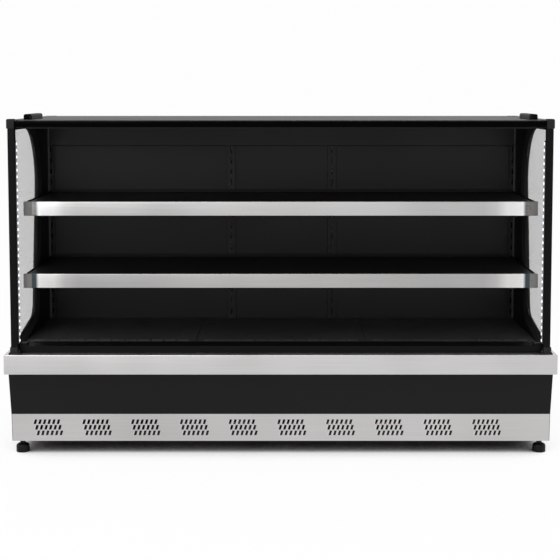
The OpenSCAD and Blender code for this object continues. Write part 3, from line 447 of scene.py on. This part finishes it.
slot_w, slot_h, slot_lean, lip_w, lip_out = 0.0095, 0.018, 0.005, 0.0048, 0.0028
slot_pitch, row_pitch, group_pitch, group_shift = 0.0174, 0.022, 0.1845, 0.051
groups, rows, per_row = 10, 3, 6
plinth_out, plinth_up = 0.009, 0.107
lip = block((-lip_w, -lip_out, -slot_h / 2), (0, 0, slot_h / 2))
edit(lip, "VERT", lambda v: v.x < -lip_w / 2 and v.y < -lip_out / 2)
bpy.ops.transform.translate(value=(0, lip_out * 0.9, 0))
done()
edit(lip, "VERT", lambda v: v.z > 0)
bpy.ops.transform.translate(value=(slot_lean, 0, 0))
done()
plinth_low, plinth_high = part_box("plinth_grille")
lean = atan2(plinth_out, plinth_up)
middle_z = (plinth_low.z + plinth_high.z) / 2 + 0.0005
middle_y = plinth_low.y + plinth_out / 2
lips = []
for group in range(groups):
    group_x = (group - (groups - 1) / 2) * group_pitch - group_shift
    for row in range(rows):
        level = row - (rows - 1) / 2
        rise = level * row_pitch
        for i in range(per_row):
            x = group_x + (i - (per_row - 1) / 2) * slot_pitch
            x -= slot_w / 2 + slot_lean / 2 - 0.0004 + level * slot_lean
            place = (x, middle_y - rise * plinth_out / plinth_up, middle_z + rise)
            lips.append(moved(copy_of(lip), place, Matrix.Rotation(lean, 4, "X")))
bpy.data.objects.remove(lip)
hand_over(joined(lips), "plinth_louvre_lips", stainless, "case", "stainless_steel", smooth=20)


# Bumper
# One length of stainless sheet, folded to a channel with soft corners and closed at its
# ends, caps the top of the front panel. Its face is left bare.
low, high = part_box("bumper")
sheet = 0.001
bumper_back = -0.335
bumper = block(low, (high.x, bumper_back, high.z))
bevelled(bumper, lambda a, b: min(a.y, b.y) < bumper_back - 0.001, 0.0035, 4)
edit(bumper, "FACE", lambda c, n: n.y > 0.9)
bpy.ops.mesh.delete(type="FACE")
done()
edit(bumper, "EDGE", lambda a, b: a.y > bumper_back - 0.0005 and b.y > bumper_back - 0.0005
     and a.z > high.z - 0.0005 and b.z > high.z - 0.0005)
bpy.ops.mesh.extrude_region_move(TRANSFORM_OT_translate={"value": (0, high.y - bumper_back, 0)})
done()


def thickened(piece, thickness):
    """Gives an open shell its sheet thickness, inwards."""
    wall = piece.modifiers.new("sheet", "SOLIDIFY")
    wall.thickness = thickness
    wall.offset = -1
    bpy.ops.object.modifier_apply(modifier=wall.name)
    return piece


hand_over(thickened(bumper, sheet), "bumper_channel", stainless, "case", "stainless_steel",
          "bumper")


# Tub
# Under the deck, a zinc-coated case and liner hold a core of rigid foam.
foam = finish_of("rigid_foam", streaks, (0.72, 0.62, 0.36), (0.86, 0.78, 0.52), 0.85, 0.95,
                 (260, 260, 260), 0.6, specular=0.2)
coat(zinc, "tub_case", "tub_liner")
coat(foam, "tub_insulation")


# End walls, rear wall and roof
# Black powder-coated skins over foam. The end walls fold over the roof, which is a grey
# zinc-coated sheet, and two open channels on it guide a cover.
coat(foam, "wall_insulation")
coat(zinc, "duct_liner")
for node in ("side_panel_left", "side_panel_right", "side_liners", "rear_panel"):
    softened(node, 0.0004, powder)
bar_black = finish_of("roof_bar_coat", streaks, (0.0025, 0.0025, 0.0026), (0.004, 0.004, 0.0041),
                      0.45, 0.6, (700, 700, 700), 0.12, specular=0.14)
softened("roof_bars", 0.0012, bar_black, segments=3)
roof_grey = finish_of("roof_sheet", crystals, (0.052, 0.05, 0.0475), (0.072, 0.069, 0.0665),
                      0.5, 0.65, (60, 60, 60), 0.04, specular=0.25)
coat(roof_grey, "roof_panel")


# Rear service panel
# The panel over the machinery has rows of louvres, each with a rolled hood above its slot. It
# and the rear wall are held by zinc-plated screws with rounded heads.
softened("rear_service_panel", 0.0004, powder)
panel_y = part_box("rear_service_panel")[1].y
hood = block((-0.14, panel_y - 0.0005, 0), (0.14, panel_y + 0.0018, 0.0045))
bevelled(hood, lambda a, b: min(a.y, b.y) > panel_y and min(a.z, b.z) > 0.004, 0.0021, 3)
hood_low, hood_pitch = 0.1, 0.018
hoods = [moved(copy_of(hood), (x, 0, hood_low + hood_pitch * row + 0.0068))
         for x in (-0.35, 0, 0.35, 0.7) for row in range(7)]
bpy.data.objects.remove(hood)
hand_over(joined(hoods), "rear_louvre_hoods", powder, "case", "black_panel")
softened("fasteners", 0.001, zinc, slot="galvanised_steel", segments=3)


# Electrical box
# A grey moulded box sits behind a cut-out of the service panel. Its bezel has a dark window
# with lit figures and four keys, and a ribbed gland takes the mains cable.
def lit_finish(name, base, light, strength, scale, smooth, rough):
    """A material that glows, with a fine change of gloss."""
    material = bpy.data.materials.new(name)
    material.use_nodes = True
    tree = material.node_tree
    shader = tree.nodes["Principled BSDF"]
    shader.inputs["Base Color"].default_value = (*base, 1)
    shader.inputs["Emission Color"].default_value = (*light, 1)
    shader.inputs["Emission Strength"].default_value = strength
    noise = tree.nodes.new("ShaderNodeTexNoise")
    noise.inputs["Scale"].default_value = scale
    level = tree.nodes.new("ShaderNodeMapRange")
    level.inputs["To Min"].default_value = smooth
    level.inputs["To Max"].default_value = rough
    tree.links.new(noise.outputs["Fac"], level.inputs["Value"])
    tree.links.new(level.outputs["Result"], shader.inputs["Roughness"])
    return material


plastic = finish_of("black_plastic", streaks, (0.005, 0.005, 0.005), (0.008, 0.008, 0.008),
                    0.4, 0.55, (1100, 1100, 1100), 0.2, specular=0.25)
cap_grey = finish_of("grey_plastic", streaks, (0.11, 0.104, 0.099), (0.145, 0.138, 0.132),
                     0.4, 0.5, (900, 900, 900), 0.12, specular=0.4)
softened("electrical_box", 0.0012, cap_grey, slot="grey_plastic", segments=3)
gloss = finish_of("gloss_black", streaks, (0.0005, 0.0005, 0.0005), (0.001, 0.001, 0.001),
                  0.12, 0.2, (300, 300, 300), 0.03, specular=0.02)
figures = lit_finish("lit_figures", (0.3, 0.02, 0.01), (1, 0.09, 0.03), 1.6, 600, 0.3, 0.5)
bezel_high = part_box("electrical_box")[1]
face_y, face_x, face_z = bezel_high.y, -0.849, 0.144
window = block((face_x - 0.006, face_y - 0.0005, face_z - 0.010),
               (face_x + 0.031, face_y + 0.0008, face_z + 0.012))
bevelled(window, lambda a, b: min(a.y, b.y) > face_y, 0.0006, 2)
window.data.materials.append(gloss)
face = [window]
bars = {"top": (0, 0.0065, 1), "middle": (0, 0, 1), "bottom": (0, -0.0065, 1),
        "upper_left": (0.0033, 0.0033, 0), "upper_right": (-0.0033, 0.0033, 0),
        "lower_left": (0.0033, -0.0033, 0), "lower_right": (-0.0033, -0.0033, 0)}
lit = (("top", "middle", "bottom", "upper_right", "lower_right"),
       ("top", "bottom", "upper_left", "upper_right", "lower_left", "lower_right"))
digit_pitch, key_across, key_up = 0.0115, 0.0085, 0.011
for digit, names in enumerate(lit):
    for name in names:
        dx, dz, flat = bars[name]
        half = (0.0024, 0.0007) if flat else (0.0007, 0.0024)
        x, z = face_x + 0.019 - digit * digit_pitch + dx, face_z + 0.001 + dz
        bar = block((x - half[0], face_y + 0.0006, z - half[1]),
                    (x + half[0], face_y + 0.0011, z + half[1]))
        bevelled(bar, lambda a, b: min(a.y, b.y) > face_y + 0.001, 0.0003, 1)
        bar.data.materials.append(figures)
        face.append(bar)
for i in range(4):
    key = turned([(0.0032, 0), (0.0032, 0.0012), (0.0028, 0.0017), (0.0015, 0.0018)], 20)
    key.data.materials.append(plastic)
    place = (face_x - 0.013 - key_across * (i // 2), face_y - 0.0003,
             face_z - 0.005 + key_up * (i % 2))
    face.append(moved(key, place, Matrix.Rotation(-pi / 2, 4, "X")))
hand_over(joined(face), "controller_face", None, "case", "black_plastic")
low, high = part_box("cable_gland")
gland_rings = [(0.0085, 0), (0.009, 0.0008), (0.009, 0.012), (0.0125, 0.0125), (0.013, 0.0131),
               (0.013, 0.0164), (0.0125, 0.017), (0.0105, 0.0175), (0.0107, 0.0235),
               (0.0098, 0.0272), (0.0078, 0.0292), (0.0058, 0.03), (0.0052, 0.0296), (0.005, 0.02)]
gland = turned(gland_rings, 36)
moved(gland, ((low.x + high.x) / 2, low.y, (low.z + high.z) / 2),
      Matrix.Rotation(-pi / 2, 4, "X"))
hand_over(gland, "cable_gland_turned", plastic, "case", "black_plastic", "cable_gland")


# Front posts, caps and canopy bar
# Black anodised square tubes with softened corners stand on plastic shoes and carry a glossy
# black bar between their rounded top caps.
def upright_edge(a, b):
    """True for a long edge that stands upright."""
    return abs(a.z - b.z) > 0.1


anodised = finish_of("black_anodised", streaks, (0.0025, 0.0025, 0.0026), (0.004, 0.004, 0.0041),
                     0.36, 0.46, (600, 600, 12), 0.08, specular=0.09)
for side in ("left", "right"):
    node = "front_post_" + side
    low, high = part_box(node)
    post = block(low, high)
    bevelled(post, upright_edge, 0.0025, 3)
    hand_over(post, node + "_tube", anodised, "case", "dark_frame", node)

post_low, post_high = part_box("front_post_right")
caps_low, caps_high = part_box("post_caps")
caps = []
for way in (-1, 1):
    outer, inner = way * (post_high.x + 0.003), way * (post_low.x + 0.001)
    front = post_low.y - 0.002
    cap = block((outer, front, post_high.z), (inner, post_high.y, caps_high.z))
    bevelled(cap, lambda a, b: min(a.z, b.z) > caps_high.z - 0.001
             and abs(a.x - outer) < 0.001 and abs(b.x - outer) < 0.001, 0.006, 6)
    bevelled(cap, lambda a, b: (a - b).length > 0.012, 0.0008, 2)
    shoe = block((outer, front, caps_low.z), (inner, post_high.y, post_low.z))
    bevelled(shoe, lambda a, b: abs(a.z - b.z) > 0.01 or min(a.z, b.z) > post_low.z - 0.001,
             0.001, 2)
    flange = block((inner - way * 0.012, post_low.y - 0.005, caps_low.z),
                   (outer + way * 0.005, post_high.y, caps_low.z + 0.007))
    bevelled(flange, lambda a, b: min(a.z, b.z) > caps_low.z + 0.004, 0.003, 3)
    caps += [cap, shoe, flange]
hand_over(joined(caps), "post_caps_moulded", plastic, "case", "black_plastic", "post_caps")

low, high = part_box("canopy_bar")
bar = block(low, high)
bevelled(bar, lambda a, b: abs(a.x - b.x) > 0.1, 0.0015, 3)
hand_over(bar, "canopy_bar_tube", gloss, "case", "black_panel", "canopy_bar")


# Light strips
# A slim channel on the inner face of each post holds a white circuit strip with a row of
# milky domed lenses, one over each white light source. Their light fills the cabinet.
lens = lit_finish("lit_lens", (0.9, 0.93, 1), (0.93, 0.96, 1), 0.8, 400, 0.2, 0.4)
circuit = finish_of("circuit_strip", streaks, (0.3, 0.29, 0.31), (0.36, 0.35, 0.37), 0.4, 0.5,
                    (400, 400, 400), 0.05)
low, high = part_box("led_strips")
bead_pitch, bead_r, channel_w = 0.0243, 0.0046, 0.0095
for way in (-1, 1):
    outer = way * high.x
    inner = way * (high.x - channel_w + bead_r)
    channel = block((outer, low.y, low.z), (inner + way * 0.0012, high.y, high.z))
    bevelled(channel, upright_edge, 0.0008, 2)
    channel.data.materials.append(plastic)
    board = block((inner, low.y + 0.001, low.z + 0.004),
                  (inner + way * 0.002, high.y - 0.001, high.z - 0.004))
    bevelled(board, upright_edge, 0.0003, 1)
    board.data.materials.append(circuit)
    beads = [channel, board]
    bead_z = low.z + bead_pitch / 2
    while bead_z < high.z - bead_r:
        bpy.ops.mesh.primitive_uv_sphere_add(segments=16, ring_count=8, radius=bead_r)
        bead = bpy.context.object
        bead.data.materials.append(lens)
        beads.append(moved(bead, (inner, (low.y + high.y) / 2, bead_z),
                           Matrix.Diagonal((0.62, 1.1, 1.3, 1))))
        bead_z += bead_pitch
    side = "left" if way < 0 else "right"
    strip = joined(beads)
    replaced = ("led_strips",) if way > 0 else ()
    hand_over(strip, "light_strip_" + side, None, "case", "lit_lens", *replaced)
    bpy.ops.object.light_add(type="AREA",
                             location=(way * 0.955, low.y + 0.01, (low.z + high.z) / 2))
    lamp = bpy.context.object
    lamp.name = "strip_light_" + side
    lamp.data.shape = "RECTANGLE"
    lamp.data.size = 0.012
    lamp.data.size_y = high.z - low.z
    lamp.data.energy = 0.16
    lamp.data.color = (0.93, 0.96, 1)
    lamp.rotation_euler = Vector((-way * 0.8, 0.6, 0)).to_track_quat("-Z", "Y").to_euler()


# End windows
# Tempered glass, slightly grey, in a rubber seal, with a bevelled black surround inside. Black
# tape covers the front edge of the walls' foam beside the post caps.
glass = bpy.data.materials.new("tempered_glass")
glass.use_nodes = True
shader = glass.node_tree.nodes["Principled BSDF"]
shader.inputs["Base Color"].default_value = (0.966, 0.963, 0.965, 1)
shader.inputs["Roughness"].default_value = 0.0
shader.inputs["IOR"].default_value = 1.3
shader.inputs["Transmission Weight"].default_value = 1.0
coat(glass, "end_glass_left", "end_glass_right")
rubber = finish_of("black_rubber", streaks, (0.006, 0.006, 0.006), (0.01, 0.01, 0.01),
                   0.6, 0.75, (900, 900, 900), 0.2, specular=0.25)
coat(rubber, "glass_seals")
wall_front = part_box("wall_insulation")[0].y
tapes = []
for way in (-1, 1):
    tapes.append(block((way * 0.9692, wall_front - 0.0002, 1.2535),
                       (way * 0.9975, wall_front + 0.0003, 1.2655)))
hand_over(joined(tapes), "wall_edge_tapes", rubber, "case", "black_rubber", smooth=0)
surround = finish_of("surround_plastic", streaks, (0.012, 0.013, 0.013), (0.018, 0.019, 0.019),
                     0.35, 0.5, (900, 900, 900), 0.15, specular=0.4)
softened("window_surrounds", 0.0008, surround, slot="black_plastic")


# Air outlet and ceiling
# A honeycomb of black plastic under the canopy bar straightens the curtain of cold air.
coat(plastic, "air_outlet_grille")
# The inner coat is painted about three times lighter than the outer black: partly its own black,
# partly painted light standing in for the light inside the cabinet.
inner_black_and_painted_light = finish_of("inner_powder_coat_painted_light", streaks, (0.010, 0.0102, 0.0108),
                        (0.0145, 0.0147, 0.0155), 0.34, 0.46, (700, 700, 700), 0.12,
                        specular=0.25)
softened("ceiling_panel", 0.0004, inner_black_and_painted_light)


# Back wall and uprights
# Lift-off black panels hang between slotted uprights. The upper band ends in a small drip
# fold over the panels, which leaves a line of shade. A slim strip closes each corner, painted
# grey as a highlight where the side liner's edge catches light.
softened("back_panels", 0.0004, inner_black_and_painted_light)
softened("shelf_uprights", 0.0005, inner_black_and_painted_light)
band_y = 0.236
fold = block((-0.969, band_y - 0.006, 1.146), (0.969, band_y + 0.0005, 1.1475))
bevelled(fold, lambda a, b: max(a.y, b.y) < band_y - 0.005, 0.0006, 2)
hand_over(fold, "band_drip_fold", inner_black_and_painted_light, "case", "black_panel")
corner_highlight_grey = finish_of("corner_trim_painted_highlight", streaks, (0.06, 0.06, 0.062), (0.085, 0.085, 0.088),
                      0.34, 0.46, (700, 700, 700), 0.12, specular=0.35)
trims = []
for way in (-1, 1):
    trim = block((way * 0.962, band_y - 0.0035, 0.43), (way * 0.9695, band_y - 0.002, 1.235))
    trims.append(bevelled(trim, upright_edge, 0.0004, 2))
hand_over(joined(trims), "back_corner_highlight_strips", corner_highlight_grey, "case", "black_panel")


# Deck
# A slanted lip along the front and three lift-out pans with return-air slots.
lip_black = finish_of("lip_powder_coat", streaks, (0.002, 0.002, 0.002), (0.003, 0.003, 0.003),
                      0.34, 0.46, (700, 700, 700), 0.12, specular=0.1)
# The pans' black coat is painted far lighter and faintly pink: partly its own gloss black, partly a
# painted reflection on it.
deck_black_and_reflection = finish_of("deck_powder_coat_painted_reflection", streaks, (0.034, 0.032, 0.034), (0.05, 0.047, 0.05),
                       0.25, 0.36, (700, 700, 700), 0.1, specular=0.5)
softened("deck_lip", 0.0004, lip_black)
softened("deck_pans", 0.0004, deck_black_and_reflection)


# Shelves
# Black pans on hooked brackets. A brushed stainless strip folded over at top and bottom fronts
# each pan, and a moulded grey cap with a small locking notch closes each end of the strip. The
# strips carry painted reflections, lighter towards their ends, and the middle one painted shade.
rail_steel = finish_of("rail_stainless", streaks, (0.5, 0.49, 0.485), (0.62, 0.61, 0.605),
                       0.28, 0.4, (4, 350, 350), 0.12, metallic=1.0)
tree = rail_steel.node_tree
place = tree.nodes.new("ShaderNodeSeparateXYZ")
tree.links.new(tree.nodes.new("ShaderNodeTexCoord").outputs["Object"], place.inputs[0])
aside = tree.nodes.new("ShaderNodeMath")
aside.operation = "ABSOLUTE"
tree.links.new(place.outputs["X"], aside.inputs[0])
# Painted reflections along the strip by distance from its middle: lighter towards the ends, with a
# dark band beside each cap.
painted_rail_sheen = tree.nodes.new("ShaderNodeValToRGB")
painted_rail_sheen.color_ramp.elements[0].color = (0.5, 0.5, 0.5, 1)
painted_rail_sheen.color_ramp.elements[1].color = (0.35, 0.35, 0.35, 1)
for at, level in ((0.3, 0.48), (0.56, 0.44), (0.76, 0.42), (0.81, 0.5), (0.85, 0.72),
                  (0.908, 0.72), (0.917, 0.04)):
    painted_rail_sheen.color_ramp.elements.new(at).color = (level, level * 0.995 + 0.01, level * 0.99 + 0.015, 1)
painted_rail_sheen.color_ramp.elements[-1].color = (0, 0.024, 0.036, 1)
tree.links.new(aside.outputs[0], painted_rail_sheen.inputs["Fac"])
shaded = tree.nodes.new("ShaderNodeMix")
shaded.data_type = "RGBA"
shaded.blend_type = "OVERLAY"
shaded.inputs["Factor"].default_value = 1
tree.links.new(tree.nodes["Group"].outputs["Colour"], shaded.inputs["A"])
tree.links.new(painted_rail_sheen.outputs["Color"], shaded.inputs["B"])
tree.links.new(shaded.outputs["Result"], tree.nodes["Principled BSDF"].inputs["Base Color"])
# The middle rail takes a darker copy of the top rail's steel: painted shade.
shaded_mid_steel = rail_steel.copy()
shaded_mid_steel.name = "rail_stainless_mid"
grain = shaded_mid_steel.node_tree.nodes["Group"]
grain.inputs["Dark"].default_value = (0.42, 0.408, 0.402, 1)
grain.inputs["Light"].default_value = (0.52, 0.507, 0.5, 1)
for level, steel in (("top", rail_steel), ("mid", shaded_mid_steel)):
    body = "shelf_" + level
    softened("shelf_pan_" + level, 0.0004, powder, body)
    softened("shelf_brackets_" + level, 0.0004, powder, body)
    node = "shelf_rail_" + level
    low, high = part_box(node)
    rail = block(low, high)
    bevelled(rail, lambda a, b: abs(a.x - b.x) > 0.1 and a.y < low.y + 0.001, 0.0025, 4)
    edit(rail, "FACE", lambda c, n: n.y > 0.9 or abs(n.x) > 0.9)
    bpy.ops.mesh.delete(type="FACE")
    done()
    edit(rail, "EDGE", lambda a, b: abs(a.x - b.x) > 0.1 and a.y > high.y - 0.0005
         and a.z > high.z - 0.0005)
    bpy.ops.mesh.extrude_region_move(TRANSFORM_OT_translate={"value": (0, 0, -0.0195)})
    done()
    hand_over(thickened(rail, sheet), node + "_folded", steel, body, "stainless_steel", node)

    node = "rail_caps_" + level
    low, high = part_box(node)
    caps = []
    for way in (-1, 1):
        outer, inner = way * high.x, way * (high.x - 0.031)
        cap = block((outer, low.y, low.z), (inner, high.y, high.z))
        middle_z = (low.z + high.z) / 2
        for cut_z in (middle_z - 0.003, middle_z + 0.003):
            edit(cap, "FACE", lambda c, n: True)
            bpy.ops.mesh.bisect(plane_co=(0, 0, cut_z), plane_no=(0, 0, 1))
            done()
        edit(cap, "FACE", lambda c, n: n.x * way > 0.9 and abs(c.z - middle_z) < 0.002)
        bpy.ops.mesh.inset(thickness=0.0008)
        bpy.ops.mesh.extrude_region_move(TRANSFORM_OT_translate={"value": (-way * 0.004, 0, 0)})
        done()
        bevelled(cap, lambda a, b: (a - b).length > 0.0132 and not (
            abs(a.z - middle_z) < 0.0035 and abs(b.z - middle_z) < 0.0035), 0.0015, 3)
        collar = block((inner, low.y - 0.0006, low.z - 0.0004),
                       (inner + way * 0.002, high.y, high.z + 0.0004))
        bevelled(collar, lambda a, b: abs(a.x - b.x) < 0.001, 0.0006, 2)
        caps += [cap, collar]
    hand_over(joined(caps), node + "_moulded", cap_grey, body, "grey_plastic", node)


# Cooling coil and fans in the tub
# Copper tubes pass to and fro through bare aluminium fins, and three plastic fans draw the
# air through them from a zinc-coated plate.
copper = finish_of("copper_pipe", streaks, (0.62, 0.27, 0.15), (0.8, 0.42, 0.26), 0.22, 0.4,
                   (90, 90, 90), 0.05, metallic=1.0)
fins = finish_of("bare_fins", streaks, (0.55, 0.56, 0.57), (0.74, 0.75, 0.76), 0.3, 0.45,
                 (500, 20, 20), 0.3, metallic=1.0)
coat(fins, "evaporator_coil", "condenser_coil")
coat(zinc, "fan_plate")
coat(plastic, "evaporator_fan_frames", "evaporator_fan_left", "evaporator_fan_mid",
     "evaporator_fan_right")


# Condensing unit and drain
# A compressor in black enamel, brazed copper pipes, the condenser with its fan, and a grey
# plastic drain.
enamel = finish_of("black_enamel", streaks, (0.01, 0.01, 0.011), (0.014, 0.014, 0.015), 0.15, 0.3,
                   (60, 60, 60), 0.05, specular=0.5)
coat(copper, "refrigerant_pipes")
coat(enamel, "compressor")
coat(plastic, "condenser_fan_frame", "condenser_fan")
coat(cap_grey, "drain_pipe")
